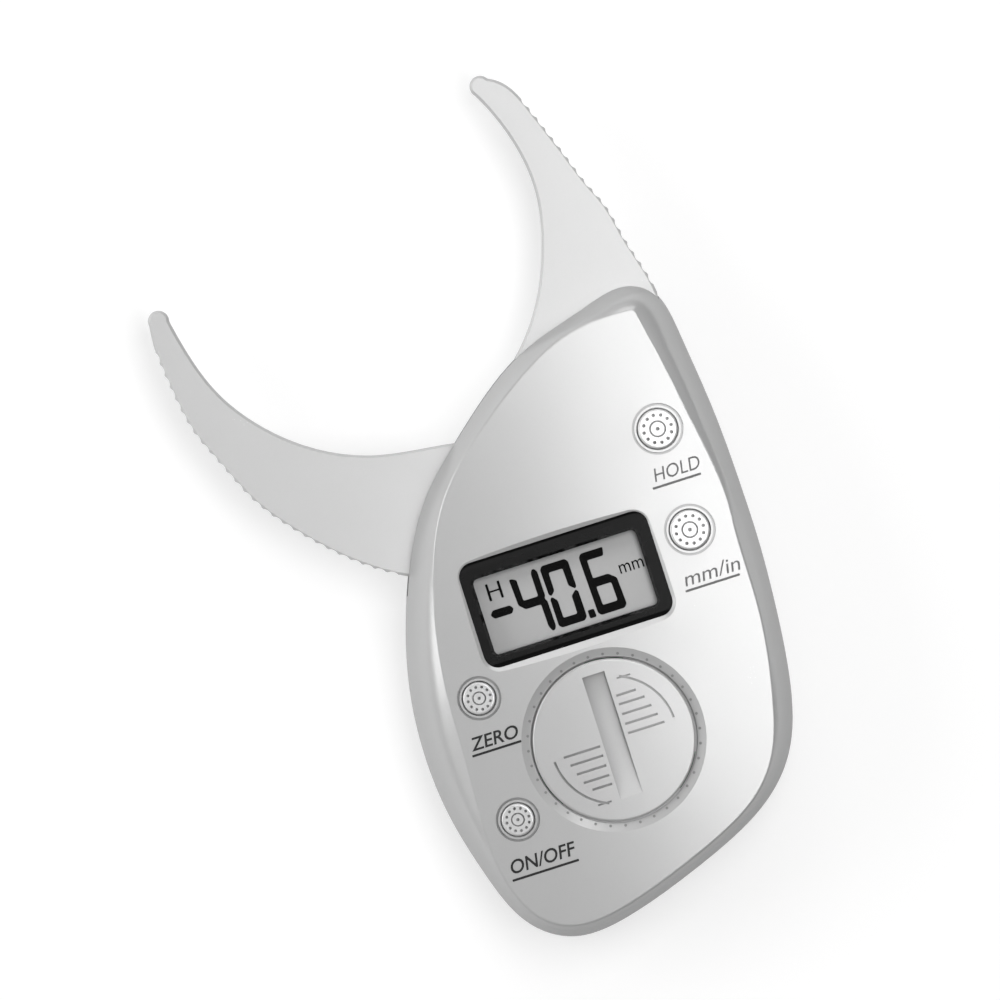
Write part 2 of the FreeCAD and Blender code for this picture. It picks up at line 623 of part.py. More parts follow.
def front_shell():
    outer = upper_body()
    crease = [e for e in outer.Edges if e.Length > 200 and e.BoundBox.ZMin > PARTING_Z + 1]
    outer = bevel_parting(outer.makeFillet(CREASE_FILLET, crease))
    cavity = upper_body(WALL)
    body = outer.cut(cavity)
    bosses = [cylinder(CASE_BOSS_RADIUS, PARTING_Z, CASE_HEIGHT, x, y) for x, y in CASE_SCREWS]
    bosses += [cylinder(BOARD_BOSS_RADIUS, BOARD_TOP, CASE_HEIGHT, x, y) for x, y in BOARD_SCREWS]
    bosses += [block(*rib, JAW_TOP + CLAMP_GAP, CASE_HEIGHT) for rib in CLAMP_RIBS]
    guides = [cylinder(radius + BUTTON_GAP + GUIDE_WALL, BUTTON_GUIDE_BOTTOM, CASE_HEIGHT, x, y)
              for x, y, radius in BUTTONS.values()]
    inner_parts = join(bosses + guides + [well_wall()]).common(upper_body(WALL / 2))
    lips = [button_lip(x, y, radius) for x, y, radius in BUTTONS.values()]
    body = join([body, inner_parts] + lips)
    cuts = well_cutters() + button_cutters() + screw_cutters() + display_opening()
    return body.cut(cuts + [moving_jaw_slot(), fixed_jaw_slot()])


# ---- electronics ----

def circuit_board():
    down = Vector(0, 0, BOARD_BOTTOM - BOARD_TOP)
    board = Part.Face(case_wire(BOARD_TOP, WALL + BOARD_EDGE_GAP)).extrude(down)
    front = block(-THROUGH, THROUGH, BOARD_FRONT_EDGE, 2 * THROUGH, 0, THROUGH)
    column_room, screw_room = BOARD_HOLE_ROOM
    holes = [cylinder(CASE_BOSS_RADIUS + column_room, 0, THROUGH, x, y) for x, y in CASE_SCREWS]
    holes += [cylinder(BOARD_SCREW_RADIUS + screw_room, 0, THROUGH, x, y) for x, y in BOARD_SCREWS]
    return board.cut([front] + holes)


def controller_chip():
    return block(*CHIP_BOX, BOARD_TOP, BOARD_TOP + CHIP_HEIGHT)


def chip_passives():
    long, wide, high = PASSIVE_SIZE
    return group(block(x, x + long, y, y + wide, BOARD_TOP, BOARD_TOP + high) for x, y in PASSIVES)


def switch_housings():
    half = SWITCH_SIZE / 2
    bodies = []
    for x, y, _ in BUTTONS.values():
        body = block(x - half, x + half, y - half, y + half, BOARD_TOP, SWITCH_TOP)
        bore = cylinder(PLUNGER_RADIUS + PLUNGER_GAP, BOARD_TOP + SWITCH_FLOOR, THROUGH, x, y)
        bodies.append(body.cut(bore))
    return group(bodies)


def plunger(name):
    x, y, _ = BUTTONS[name]
    return cylinder(PLUNGER_RADIUS, PLUNGER_BOTTOM, BUTTON_BOTTOM, x, y)


def button(name):
    x, y, radius = BUTTONS[name]
    cap = cylinder(radius, BUTTON_BOTTOM, THROUGH, x, y).common(dome(-BUTTON_PROUD))
    rim = [e for e in cap.Edges if e.isClosed() and e.BoundBox.ZMin > BUTTON_BOTTOM + BUTTON_PROUD]
    cap = cap.makeFillet(BUTTON_EDGE, rim)
    reach, thickness = BUTTON_FLANGE
    flange = cylinder(radius + reach, BUTTON_BOTTOM, BUTTON_BOTTOM + thickness, x, y)
    floor = face_height(x, y) + BUTTON_PROUD - DOT_DEPTH
    places = [polar(DOT_PLACE * radius, i * 360 / BUTTON_DOTS, (x, y)) for i in range(BUTTON_DOTS)]
    dots = [cylinder(DOT_RADIUS * radius, floor, THROUGH, *place) for place in places]
    groove = ring(CAP_RING[0] * radius, CAP_RING[1] * radius, floor, THROUGH, x, y)
    dimple = cylinder(DIMPLE_RADIUS * radius, floor, THROUGH, x, y)
    return join([cap, flange]).cut(dots + [groove, dimple])


def lcd_panel():
    """Rear glass, with a smaller front glass that leaves the contact edges bare."""
    x0, x1, y0, y1 = LCD_BOX
    middle = LCD_BOTTOM + REAR_GLASS
    below, above = FRONT_GLASS_EDGES
    rear = block(x0, x1, y0, y1, LCD_BOTTOM, middle)
    front = block(x0, x1, y0 + below, y1 - above, middle, LCD_TOP)
    return join([rear, front])


def lcd_contact_strips():
    x0, x1, y0, y1 = LCD_BOX
    end, side = STRIP_EDGES
    starts = (y0 + side, y1 - side - STRIP_WIDTH)
    return group(block(x0 + end, x1 - end, y, y + STRIP_WIDTH, BOARD_TOP, LCD_BOTTOM) for y in starts)


def lcd_holder():
    outside = rounded_block(LCD_BOX, LCD_HOLDER_CORNER, BOARD_TOP, LCD_TOP + LCD_GAP, LCD_HOLDER_WALL)
    inside = rounded_block(LCD_BOX, LCD_GAP, 0, THROUGH, LCD_GAP)
    return outside.cut(inside)


def bezel_shoulder(start, edge, drop):
    """Wedge that slopes the frame's top from a line along X down to its edge, and on beyond it."""
    x0, x1 = BEZEL_BOX[:2]
    reach = 2 * edge - start
    corners = [Vector(x0 - 1, y, z) for y, z in [(start, BEZEL_TOP), (reach, BEZEL_TOP - 2 * drop),
                                                 (reach, BEZEL_TOP + 1), (start, BEZEL_TOP + 1)]]
    side = Part.Face(Part.makePolygon(corners + corners[:1]))
    return side.extrude(Vector(x1 - x0 + 2, 0, 0))


def display_bezel():
    body = rounded_block(BEZEL_BOX, BEZEL_CORNER, BEZEL_FLANGE[0], BEZEL_TOP)
    flange = rounded_block(BEZEL_BOX, BEZEL_CORNER, *BEZEL_FLANGE, BEZEL_FLANGE_EDGE)
    window = rounded_block(WINDOW_BOX, WINDOW_CORNER, 0, THROUGH)
    foot = rounded_rectangle(WINDOW_BOX, WINDOW_CORNER, LENS_TOP + BEZEL_SLOPE, 0)
    brink = rounded_rectangle(WINDOW_BOX, WINDOW_CORNER, BEZEL_TOP + 0.01, BEZEL_SLOPE)
    slope = Part.makeLoft([foot, brink], True, True)
    rebate = rounded_block(WINDOW_BOX, WINDOW_CORNER, 0, LENS_TOP, LENS_EDGE + LENS_GAP)
    shoulders = [bezel_shoulder(*shoulder) for shoulder in BEZEL_SHOULDERS]
    return join([body.cut(shoulders), flange]).cut([window, slope, rebate])


def display_lens():
    return rounded_block(WINDOW_BOX, WINDOW_CORNER, BEZEL_FLANGE[0], LENS_TOP, LENS_EDGE)


# ---- battery ----

def grip_marks():
    """Finger lines and the turn arrow on one side of the coin slot."""
    floor = CASE_HEIGHT - 3
    half = GRIP_LINE / 2
    marks = [block(GRIP_START, end, y - half, y + half, floor, THROUGH) for y, end in GRIP_LINES]
    x, y = BATTERY
    arc = sector(ARROW_RADIUS - half, ARROW_RADIUS + half, *ARROW_ANGLES, floor, THROUGH, x, y)
    return marks + [arc, block(*ARROW_BARB, floor, THROUGH)]


def coin_slot():
    x0, x1, y0, y1 = COIN_SLOT
    middle = (y0 + y1) / 2
    lowest = face_height(0, middle) - COIN_SLOT_DEPTH
    centre = Vector(x0, middle, lowest + COIN_RADIUS)
    disc = Part.makeCylinder(COIN_RADIUS, x1 - x0, centre, Vector(1, 0, 0))
    return disc.common(block(x0, x1, y0, y1, lowest - 1, THROUGH))


def slot_rib():
    """Thickening under the disc, which keeps a floor below the deepest part of the coin slot."""
    beside, half, bottom = SLOT_RIB
    x0, x1 = COIN_SLOT[:2]
    y = BATTERY[1]
    return block(x0 - beside, x1 + beside, y - half, y + half, bottom, COVER_BOTTOM + 0.2)


def battery_cover():
    x, y = BATTERY
    disc = cylinder(COVER_RADIUS, COVER_BOTTOM, THROUGH, x, y).common(dome(-0.1))
    rim = [e for e in disc.Edges if e.BoundBox.ZMin > COVER_BOTTOM + 0.5]
    disc = disc.makeFillet(COVER_EDGE, rim)
    both_sides = grip_marks()
    for mark in grip_marks():
        both_sides.append(mark.rotated(Vector(x, y, 0), Vector(0, 0, 1), 180))
    marks = group(both_sides).cut(dome(GRIP_DEPTH - 0.1))
    disc = join([disc, slot_rib()]).cut([marks, coin_slot()])
    inner, outer, bottom = COVER_SKIRT
    skirt = ring(inner, outer, bottom, COVER_BOTTOM + 0.2, x, y)
    half = LUG_SPAN / 2
    lugs = [sector(inner + 0.3, LUG_RADIUS, angle - half, angle + half, bottom, LUG_TOP, x, y)
            for angle in LUG_ANGLES]
    return join([disc, skirt] + lugs)


def battery_cover_seal():
    return ring(*SEAL, LEDGE[2], COVER_BOTTOM, *BATTERY)


def coin_cell():
    x, y = BATTERY
    bottom, top = CELL
    inset, step = CELL_STEP
    can = cylinder(CELL_RADIUS, bottom + step, top, x, y)
    rim = [e for e in can.Edges if e.isClosed()]
    pole = cylinder(CELL_RADIUS - inset, bottom, bottom + step + 0.1, x, y)
    return join([can.makeFillet(CELL_EDGE, rim), pole])


def contact_notch():
    x, y = BATTERY
    half = LEAF[0] / 2 + 0.3
    return block(x - HOLDER[1] - 0.6, x - CELL_RADIUS, y - half, y + half, BOARD_TOP, THROUGH)


def battery_holder():
    x, y = BATTERY
    inner, outer, top = HOLDER
    floor = cylinder(outer, BOARD_TOP, BOARD_TOP + HOLDER_FLOOR, x, y)
    cup = join([ring(inner, outer, BOARD_TOP, top, x, y), floor])
    return cup.cut(contact_notch())


def battery_contact_positive():
    """Upright leaf that touches the can's side, with a foot soldered to the board."""
    x, y = BATTERY
    width, thickness, reach = LEAF
    half = width / 2
    inside = x - CELL_RADIUS - LEAF_GAP
    outside = inside - thickness
    leaf = block(outside, inside, y - half, y + half, BOARD_TOP, HOLDER[2])
    foot = block(outside - reach, inside, y - half, y + half, BOARD_TOP, BOARD_TOP + FOOT_THICKNESS)
    return join([leaf, foot])


def battery_contact_negative():
    """Spring disc under the cell, with three raised tongues."""
    x, y = BATTERY
    floor = BOARD_TOP + HOLDER_FLOOR
    inner, outer, thickness = SPRING_DISC
    disc = ring(inner, outer, floor, floor + thickness, x, y)
    radius, spread = TONGUES
    tongues = [cylinder(radius, floor, CELL[0], *polar(spread, angle, BATTERY)) for angle in (90, 210, 330)]
    return join([disc] + tongues)


def all_parts():
    parts = {
        "front_shell": front_shell(),
        "rear_shell": rear_shell(),
        "fixed_jaw": fixed_jaw(),
        "moving_jaw": moving_jaw(),
        "sensor_scale": sensor_scale(),
        "pivot_screw": pivot_screw(),
        "pivot_washer": pivot_washer(),
        "pivot_spring_washer": pivot_spring_washer(),
        "case_screws": case_screws(),
        "circuit_board": circuit_board(),
        "board_screws": board_screws(),
        "controller_chip": controller_chip(),
        "chip_passives": chip_passives(),
        "switch_housings": switch_housings(),
        "lcd_panel": lcd_panel(),
        "lcd_contact_strips": lcd_contact_strips(),
        "lcd_holder": lcd_holder(),
        "display_bezel": display_bezel(),
        "display_lens": display_lens(),
        "battery_cover": battery_cover(),
        "battery_cover_seal": battery_cover_seal(),
        "coin_cell": coin_cell(),
        "battery_holder": battery_holder(),
        "battery_contact_positive": battery_contact_positive(),
        "battery_contact_negative": battery_contact_negative(),
    }
    for name in BUTTONS:
        parts[name + "_button"] = button(name)
        parts[name + "_plunger"] = plunger(name)
    return parts


os.makedirs("parts", exist_ok=True)
for node, shape in all_parts().items():
    shape.exportStep("parts/" + node + ".step")
    print(node, "valid" if shape.isValid() else "INVALID", len(shape.Solids), round(shape.Volume, 2))
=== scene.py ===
import math

import bmesh
import bpy
from bpy.props import FloatProperty, FloatVectorProperty, IntProperty, PointerProperty
from bpy.types import Operator, Panel, PropertyGroup
from mathutils import Matrix, Vector
from mathutils.bvhtree import BVHTree


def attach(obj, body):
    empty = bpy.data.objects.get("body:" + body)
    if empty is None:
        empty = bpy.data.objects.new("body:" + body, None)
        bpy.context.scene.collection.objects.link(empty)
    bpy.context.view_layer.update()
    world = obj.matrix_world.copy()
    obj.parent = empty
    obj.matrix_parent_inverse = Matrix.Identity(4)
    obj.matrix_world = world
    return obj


bl_info = {
    "name": "Skinfold caliper",
    "version": (1, 0, 0),
    "blender": (4, 5, 0),
    "location": "3D View > Sidebar > Caliper",
    "description": "Finishes, display, lettering and studio for a digital skinfold caliper",
    "category": "Object",
}

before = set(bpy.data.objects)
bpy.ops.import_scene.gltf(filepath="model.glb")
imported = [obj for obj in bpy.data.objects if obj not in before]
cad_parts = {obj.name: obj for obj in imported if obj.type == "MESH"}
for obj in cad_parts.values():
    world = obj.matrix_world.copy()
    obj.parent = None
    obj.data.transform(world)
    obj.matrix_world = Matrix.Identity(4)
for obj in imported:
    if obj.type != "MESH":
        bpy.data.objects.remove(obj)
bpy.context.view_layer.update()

MM = 0.001                          # sizes and places are in millimetres until they become a mesh
UP = Vector((0, 0, 1))
ABOVE = 50.0                        # height from which pieces are dropped onto the case
WELD = 1e-7                         # metres between points that are joined into one
CORNER_STEPS = 4                    # straight pieces in a rounded corner
CORNER_SHARE = 0.45                 # of a side: the most that one corner's rounding takes
LEAF = 0.05                         # half the thickness of a flat piece before it is laid on

# Places are measured as on the parts: from the jaw pivot, on the flat back that the caliper rests on.
BATTERY = (-0.1, -43.35)            # middle of the battery cover
LCD_TOP = 19.0                      # the glass that the figures lie on
FACE_TOP = 22.5                     # the highest of the front shell
VIEW_MIDDLE = (-6.4, 2.9)           # what the camera looks at


# ---- shader arithmetic ----

class Wire:
    """A node's output that takes part in arithmetic: every operator adds its Math node."""

    def __init__(self, tree, socket):
        self.tree = tree
        self.socket = socket

    def maths(self, operation, *terms):
        node = self.tree.nodes.new("ShaderNodeMath")
        node.operation = operation
        for place, term in zip(node.inputs, terms):
            plug(self.tree, place, term)
        return Wire(self.tree, node.outputs[0])

    def __add__(self, other):
        return self.maths("ADD", self, other)

    __radd__ = __add__

    def __mul__(self, other):
        return self.maths("MULTIPLY", self, other)

    __rmul__ = __mul__

    def __sub__(self, other):
        return self.maths("SUBTRACT", self, other)

    def __rsub__(self, other):
        return self.maths("SUBTRACT", other, self)

    def __truediv__(self, other):
        return self.maths("DIVIDE", self, other)

    def __rtruediv__(self, other):
        return self.maths("DIVIDE", other, self)

    def __gt__(self, other):
        return self.maths("GREATER_THAN", self, other)

    def __lt__(self, other):
        return self.maths("LESS_THAN", self, other)

    def fraction(self):
        return self.maths("FRACT", self)

    def clamped(self):
        return self.maths("MINIMUM", self.maths("MAXIMUM", self, 0.0), 1.0)


def plug(tree, place, value):
    """A number, a colour or a wire into a node's input."""
    if isinstance(value, Wire):
        tree.links.new(value.socket, place)
    else:
        place.default_value = value


def in_use(sockets, name):
    """The socket of that name, of those that the node's settings leave in use."""
    return next(socket for socket in sockets if socket.enabled and name in (None, socket.name))


def around(middle, share, spread):
    """A value that varies by spread about its middle as share goes from 0 to 1."""
    return middle + (share - 0.5) * spread


class Shading:
    """A node tree that is filled one node at a time."""

    def __init__(self, tree):
        self.tree = tree

    def node(self, kind, settings=(), output=None, **inputs):
        """Any node: its settings first, then what goes into its inputs, named with _ for a space."""
        made = self.tree.nodes.new("ShaderNode" + kind)
        for name, value in dict(settings).items():
            setattr(made, name, value)
        for name, value in inputs.items():
            plug(self.tree, in_use(made.inputs, name.replace("_", " ")), value)
        return Wire(self.tree, in_use(made.outputs, output))

    def grey(self, level):
        return self.node("CombineColor", Red=level, Green=level, Blue=level)

    def mix(self, share, first, second):
        """A colour between two, by a share that varies over the surface."""
        return self.node("Mix", {"data_type": "RGBA"}, Factor=share, A=first, B=second)


class Finish(Shading):
    """A material on a Principled shader, at the size of the real thing."""

    def __init__(self, name):
        self.material = bpy.data.materials.new(name)
        self.material.use_nodes = True
        super().__init__(self.material.node_tree)
        self.shader = self.tree.nodes["Principled BSDF"]

    def set(self, **inputs):
        for name, value in inputs.items():
            plug(self.tree, self.shader.inputs[name.replace("_", " ")], value)

    def place(self):
        """Coordinates of the piece itself, in metres."""
        return self.node("TexCoord", output="Object")

    def along(self, axis):
        return self.node("SeparateXYZ", output=axis, Vector=self.place())

    def noise(self, size, detail=2.0, roughness=0.5):
        """Cloudy variation from 0 to 1 whose lumps are about size millimetres across."""
        return self.node("TexNoise", output="Fac", Vector=self.place(), Scale=1 / (size * MM),
                         Detail=detail, Roughness=roughness)

    def cells(self, size):
        """One random value for each small cell, size millimetres across."""
        made = self.node("TexVoronoi", output="Color", Vector=self.place(), Scale=1 / (size * MM))
        return self.node("SeparateColor", output="Red", Color=made)

    def bump(self, height, depth):
        """Relief of a height from 0 to 1 that is depth millimetres tall."""
        self.set(Normal=self.node("Bump", Height=height, Distance=depth * MM, Strength=1.0))

    def hollows(self, reach):
        """Ambient occlusion of the piece's own shape: 0 on open surfaces, up to 1 in its grooves and
        recesses, within reach millimetres; it marks where shade is painted.
        """
        return 1 - self.node("AmbientOcclusion", {"only_local": True}, output="AO", Distance=reach * MM)

    def tones(self, colour, share, spread):
        """The colour, darker and lighter by spread as share goes from 0 to 1."""
        low = [channel * (1 - spread) for channel in colour[:3]] + [1]
        high = [min(1.0, channel * (1 + spread)) for channel in colour[:3]] + [1]
        return self.mix(share, low, high)

    def shades(self, colour, share, spread):
        self.set(Base_Color=self.tones(colour, share, spread))


# ---- finishes ----

# Colours of the parts that have no setting of their own.
PLUNGER_WHITE = (0.7, 0.7, 0.66)
SWITCH_GREY = (0.12, 0.12, 0.12)
SEAL_BLACK = (0.03, 0.03, 0.03)
ZINC = (0.62, 0.62, 0.6)
SPRING_STEEL = (0.5, 0.5, 0.52)
NICKEL = (0.68, 0.67, 0.64)
MASK_GREEN = (0.02, 0.16, 0.06)
TRACK_GREEN = (0.05, 0.3, 0.1)
CHIP_BLACK = (0.025, 0.025, 0.027)
CHIP_TAN = (0.45, 0.33, 0.2)
HOLDER_BLACK = (0.03, 0.03, 0.03)
STRIP_GREY = (0.15, 0.15, 0.17)
FILM_COPPER = (0.72, 0.45, 0.25)

FLAKE_SHARE = 0.6                   # of the paint's unevenness that is flake and not cloud
TRACK_PITCH = 2.54                  # between the board's tracks, in millimetres
TRACK_STRETCH = 1.7                 # how much further apart those that run across are
TRACK_WIDTH = (0.22, 0.14)          # of the pitch: tracks that run lengthways, and across
TRACK_REGION = (0.5, 0.46)          # where each kind lies, from 0 to 1: above the first, below the second


def silver_paint(name, colour, settings):
    """Satin paint with fine aluminium flake over smooth moulded plastic, with shade painted into its grooves
    and recesses.
    """
    paint = Finish(name)
    flake = paint.cells(size=0.09)
    cloud = paint.noise(size=9.0, detail=3.0)
    open_tone = paint.tones(colour, flake * FLAKE_SHARE + cloud * (1 - FLAKE_SHARE), spread=0.02)
    # Painted shade: the colour darkens toward the recess grey where ambient occlusion finds the piece's own
    # grooves and recesses.
    painted_recess_shade = (paint.hollows(settings.hollow_reach / MM) * settings.hollow_shade).clamped()
    paint.set(Base_Color=paint.mix(painted_recess_shade, open_tone, [*settings.recess_shade_grey, 1]))
    paint.set(Metallic=settings.metallic, Specular_IOR_Level=settings.clear_coat)
    paint.set(Roughness=around(around(settings.roughness, cloud, spread=0.02), flake, spread=0.04))
    paint.bump(paint.noise(size=0.9, detail=1.0), depth=0.0008)
    return paint.material


def gloss_plastic(name, colour, roughness, shine):
    plastic = Finish(name)
    cloud = plastic.noise(size=3.0)
    plastic.shades(colour, cloud, spread=0.12)
    plastic.set(Roughness=around(roughness, cloud, spread=0.06), Specular_IOR_Level=shine)
    plastic.bump(plastic.noise(size=0.5), depth=0.002)
    return plastic.material


def matt_plastic(name, colour, roughness=0.6):
    plastic = Finish(name)
    grain = plastic.noise(size=0.25, detail=4.0)
    plastic.shades(colour, plastic.noise(size=4.0), spread=0.1)
    plastic.set(Roughness=around(roughness, grain, spread=0.15))
    plastic.bump(grain, depth=0.01)
    return plastic.material


def plated_steel(name, colour, roughness=0.3):
    """Plated metal with fine tool marks and a faint stain."""
    steel = Finish(name)
    marks = steel.noise(size=0.15, detail=5.0, roughness=0.7)
    steel.shades(colour, steel.noise(size=2.5, detail=3.0), spread=0.08)
    steel.set(Metallic=1.0, Roughness=around(roughness, marks, spread=0.2))
    steel.bump(marks, depth=0.004)
    return steel.material


def board_finish(mask, track):
    """Solder mask with copper tracks that run along and across under it."""
    board = Finish("board_solder_mask")
    pitch = TRACK_PITCH * MM
    across = (board.along("X") / pitch).fraction()
    along = (board.along("Y") / (TRACK_STRETCH * pitch)).fraction()
    region = board.noise(size=6.0, detail=0.0)
    lengthways = (across < TRACK_WIDTH[0]) * (region > TRACK_REGION[0])
    crossing = (along < TRACK_WIDTH[1]) * (region < TRACK_REGION[1])
    copper = (lengthways + crossing).clamped()
    board.set(Base_Color=board.mix(copper, [*mask, 1], [*track, 1]),
              Roughness=0.3 + board.noise(size=1.0) * 0.1)
    board.bump(copper, depth=0.02)
    return board.material


def rubber_finish(name, colour):
    rubber = Finish(name)
    grain = rubber.noise(size=0.2, detail=4.0)
    rubber.shades(colour, grain, spread=0.2)
    rubber.set(Roughness=0.75 + grain * 0.1)
    rubber.bump(grain, depth=0.01)
    return rubber.material


def film_finish(name, colour):
    """Copper-coloured film."""
    film = Finish(name)
    film.shades(colour, film.noise(size=0.8), spread=0.1)
    film.set(Metallic=0.8, Roughness=0.3 + film.noise(size=0.4) * 0.1)
    return film.material


def lens_finish(name, settings):
    """Clear moulded window: it lets the display through and has a faint haze."""
    lens = Finish(name)
    haze = lens.noise(size=5.0)
    lens.shades(settings.lens, haze, spread=0.04)
    lens.set(Alpha=settings.lens_veil + haze * 0.01, Roughness=0.06 + haze * 0.03)
    return lens.material


def lcd_finish(name, settings):
    """Grey reflective rear layer with a very fine grain."""
    glass = Finish(name)
    grain = glass.cells(size=0.12)
    glass.shades(settings.reflector, grain * 0.5 + glass.noise(size=2.5) * 0.5, spread=0.03)
    glass.set(Roughness=0.5 + grain * 0.1)
    return glass.material


def ink_finish(name, colour, roughness=0.5, shine=0.3):
    """Printed ink, a little uneven in cover."""
    ink = Finish(name)
    cover = ink.noise(size=0.35, detail=3.0)
    ink.shades(colour, cover, spread=0.15)
    ink.set(Roughness=around(roughness, cover, spread=0.1), Specular_IOR_Level=shine)
    return ink.material


def dress(nodes, material):
    """Gives parts their material."""
    for name in nodes:
        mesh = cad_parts[name].data
        mesh.materials.clear()
        mesh.materials.append(material)


# ---- flat pieces ----

def add_object(name, data):
    made = bpy.data.objects.new(name, data)
    bpy.context.scene.collection.objects.link(made)
    return made


def rounded(corners, radius):
    """The corners of a closed outline, each replaced by a short curve."""
    points = []
    count = len(corners)
    for index, corner in enumerate(corners):
        here = Vector(corner)
        before = Vector(corners[index - 1]) - here
        after = Vector(corners[(index + 1) % count]) - here
        reach = min(radius, CORNER_SHARE * before.length, CORNER_SHARE * after.length)
        start = here + before.normalized() * reach
        end = here + after.normalized() * reach
        for step in range(CORNER_STEPS + 1):
            t = step / CORNER_STEPS
            points.append(start * (1 - t) ** 2 + here * (2 * t * (1 - t)) + end * t ** 2)
    return points


def settle_curve(name, curve, height, material):
    """The welded mesh of a curve or text, at a height in metres."""
    holder = add_object(name, curve)
    bpy.context.view_layer.update()
    mesh = bpy.data.meshes.new_from_object(holder.evaluated_get(bpy.context.evaluated_depsgraph_get()))
    bpy.data.objects.remove(holder)
    bpy.data.curves.remove(curve)
    built = bmesh.new()
    built.from_mesh(mesh)
    bmesh.ops.remove_doubles(built, verts=built.verts, dist=WELD)
    bmesh.ops.translate(built, verts=built.verts, vec=UP * height)
    bmesh.ops.recalc_face_normals(built, faces=built.faces)
    built.to_mesh(mesh)
    built.free()
    mesh.materials.clear()
    mesh.materials.append(material)
    return add_object(name, mesh)


def slab(name, outlines, bottom, top, material):
    """One mesh from closed outlines in millimetres: an outline inside another is a hole."""
    curve = bpy.data.curves.new(name, "CURVE")
    curve.dimensions = "2D"
    curve.fill_mode = "BOTH"
    curve.extrude = 0.5 * (top - bottom) * MM
    for outline in outlines:
        spline = curve.splines.new("POLY")
        spline.points.add(len(outline) - 1)
        for point, (x, y) in zip(spline.points, outline):
            point.co = (x * MM, y * MM, 0, 1)
        spline.use_cyclic_u = True
    return settle_curve(name, curve, 0.5 * (bottom + top) * MM, material)


def lettering(name, text, box, slant, weight, thickness, material):
    """Words as a mesh, fitted to a box of x from, to, y from, to in millimetres."""
    curve = bpy.data.curves.new(name, "FONT")
    curve.body = text
    curve.size = 1.0
    curve.shear = slant
    curve.offset = weight
    curve.extrude = 0.5
    curve.resolution_u = 4
    piece = settle_curve(name, curve, 0.0, material)
    xs = [v.co.x for v in piece.data.vertices]
    ys = [v.co.y for v in piece.data.vertices]
    x0, x1, y0, y1 = [value * MM for value in box]
    wide = (x1 - x0) / (max(xs) - min(xs))
    tall = (y1 - y0) / (max(ys) - min(ys))
    move = Matrix.Translation((x0 - min(xs) * wide, y0 - min(ys) * tall, 0))
    piece.data.transform(move @ Matrix.Diagonal((wide, tall, thickness * MM, 1)))
    return piece


def cut_across(piece, cuts):
    """Cuts a long flat piece across, so that it can follow a curved face."""
    built = bmesh.new()
    built.from_mesh(piece.data)
    xs = [v.co.x for v in built.verts]
    low, high = min(xs), max(xs)
    for step in range(1, cuts):
        x = low + (high - low) * step / cuts
        bmesh.ops.bisect_plane(built, geom=built.verts[:] + built.edges[:] + built.faces[:],
                               plane_co=(x, 0, 0), plane_no=(1, 0, 0))
    built.to_mesh(piece.data)
    built.free()


def surface_of(node):
    """A search tree of a part's mesh, for laying things on it."""
    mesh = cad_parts[node].data
    vertices = [v.co.copy() for v in mesh.vertices]
    return BVHTree.FromPolygons(vertices, [tuple(p.vertices) for p in mesh.polygons])


def lay_on(piece, surface, proud, sunk):
    """Drops a flat piece onto a surface: its top stands proud, its underside is sunk, in millimetres."""
    for vertex in piece.data.vertices:
        start = Vector((vertex.co.x, vertex.co.y, ABOVE * MM))
        hit = surface.ray_cast(start, -UP)[0]
        if hit is None:
            raise RuntimeError(piece.name + " reaches past the surface that it lies on")
        vertex.co.z = hit.z + (proud if vertex.co.z > 0 else -sunk) * MM
    piece.data.update()


def join_pieces(name, pieces):
    """One object from several of the same material."""
    built = bmesh.new()
    for piece in pieces:
        built.from_mesh(piece.data)
    mesh = bpy.data.meshes.new(name)
    built.to_mesh(mesh)
    built.free()
    mesh.materials.append(pieces[0].data.materials[0])
    for piece in pieces:
        bpy.data.objects.remove(piece)
    return add_object(name, mesh)


# ---- settings ----

def colour(name, about, red, green, blue):
    return FloatVectorProperty(name=name, description=about, subtype="COLOR", size=3, min=0, max=1,
                               default=(red, green, blue))


def length(name, about, millimetres):
    return FloatProperty(name=name, description=about, default=millimetres * MM, unit="LENGTH", precision=5)


def share(name, about, default):
    return FloatProperty(name=name, description=about, default=default, min=0, max=1, subtype="FACTOR")


def angle(name, about, degrees):
    return FloatProperty(name=name, description=about, default=math.radians(degrees), subtype="ANGLE")


class PaintSettings(PropertyGroup):
    shell: colour("Shells", "Silver paint of the two case shells", 0.53, 0.53, 0.53)
    jaw: colour("Jaws", "Silver paint of the jaws", 0.62, 0.62, 0.62)
    button: colour("Buttons", "Silver paint of the button caps", 0.7, 0.7, 0.7)
    cover: colour("Battery cover", "Silver paint of the battery cover", 0.54, 0.54, 0.54)
    metallic: share("Flake", "How much of the paint's shine is metal flake", 0.3)
    clear_coat: share("Clear coat", "Gloss of the binder over the flake", 0.0)
    roughness: share("Satin", "How widely the paint spreads a highlight", 0.25)
    # Painted shade in grooves and recesses: the grey that the silver paint is darkened toward there, how far
    # it goes, and how wide a recess can be.
    recess_shade_grey: colour("Hollows", "Grey of the shaded plastic in grooves and recesses", 0.04, 0.04, 0.04)
    hollow_shade: FloatProperty(name="Hollow shade", description="How far the grey shows in the hollows",
                                default=0.5, min=0, max=4)
    hollow_reach: length("Hollow reach", "How wide a recess can be and still be one", 2.5)


class DisplaySettings(PropertyGroup):
    frame_colour: colour("Frame", "Gloss black frame round the window", 0.004, 0.004, 0.004)
    reflector: colour("Background", "Grey of the display behind its figures", 0.49, 0.49, 0.49)
    figure: colour("Figures", "Colour of the display's dark segments", 0.002, 0.002, 0.002)
    lens: colour("Window", "Tint of the clear window", 0.05, 0.05, 0.05)
    lens_veil: share("Window haze", "How much of the window itself is seen", 0.03)
    segment_height: length("Segment height", "How far the figures stand off the glass", 0.05)
    corner: length("Segment corner", "Rounding of the segments' corners", 0.3)


